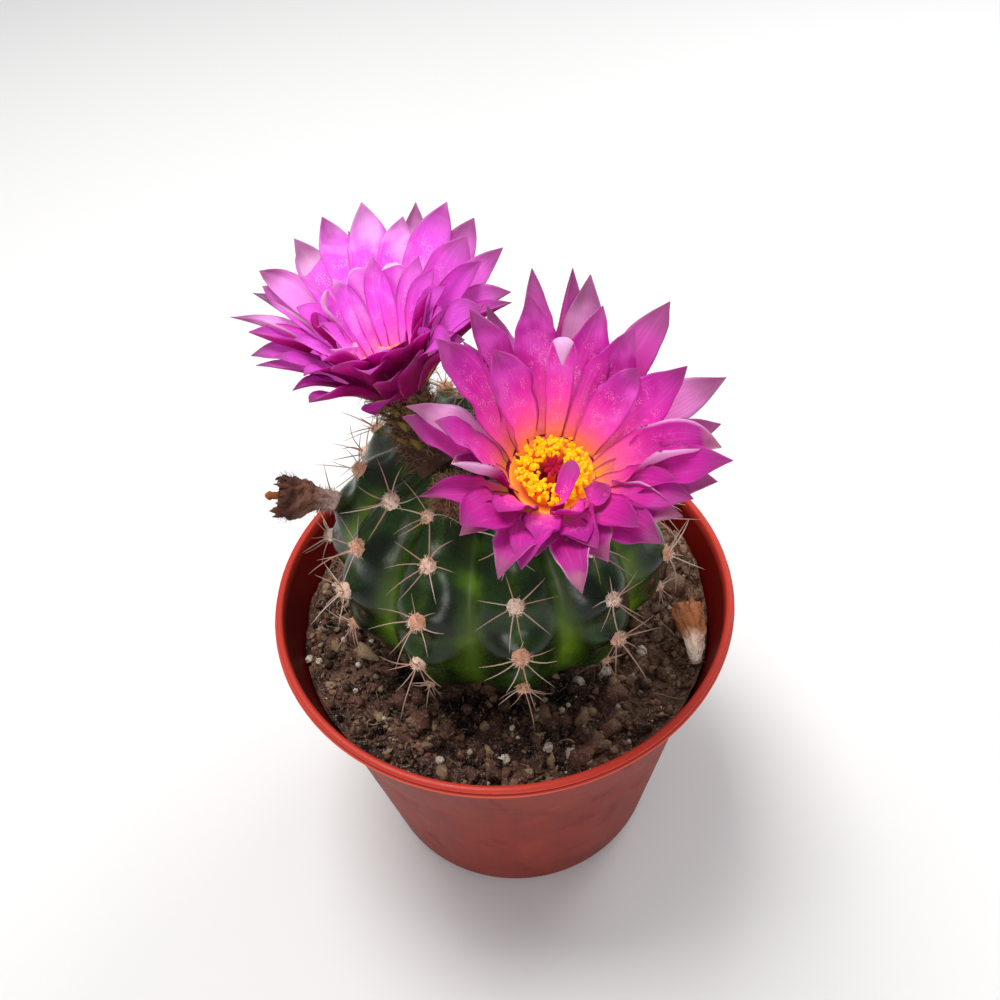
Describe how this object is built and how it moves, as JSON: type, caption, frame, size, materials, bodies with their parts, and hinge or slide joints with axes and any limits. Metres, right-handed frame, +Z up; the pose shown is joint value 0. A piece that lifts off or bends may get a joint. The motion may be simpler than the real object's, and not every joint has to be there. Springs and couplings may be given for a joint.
{
  "type": "potted round cactus in bloom",
  "caption": "Round ribbed cactus with woolly spined areoles and two large wide-open blooms, in a small round plastic pot of peat soil.",
  "frame": {"origin": "middle of the pot's base, on the flat boss that it rests on", "axes": "+Z up along the pot's axis, -Y towards the viewer, +X to the viewer's right"},
  "size_m": [0.085, 0.085, 0.1319],
  "materials": {
    "pot_plastic": "dull reddish brown, faint satin sheen",
    "peat_soil": "rough dark brown fibres with white perlite grains",
    "cactus_flesh": "waxy satin skin with woolly areoles and pinkish beige spines",
    "petal": "fine satin, magenta to orange towards the throat",
    "stamen": "powdery golden yellow",
    "stigma": "velvety crimson",
    "woolly_tube": "brown and olive wool over narrow scales",
    "dried_flower": "dry, crumpled and matte"
  },
  "bodies": {
    "root": {"right_bloom_petals": "petal", "right_bloom_tube": "woolly_tube", "right_bloom_stamens": "stamen", "right_bloom_style": "stigma", "left_bloom_petals": "petal", "left_bloom_tube": "woolly_tube", "left_bloom_stamens": "stamen", "left_bloom_style": "stigma", "pot": "pot_plastic", "soil": "peat_soil", "cactus_body": "cactus_flesh", "woolly_bud": "woolly_tube", "withered_flower": "dried_flower", "fallen_flower": "dried_flower"}
  },
  "joints": []
}
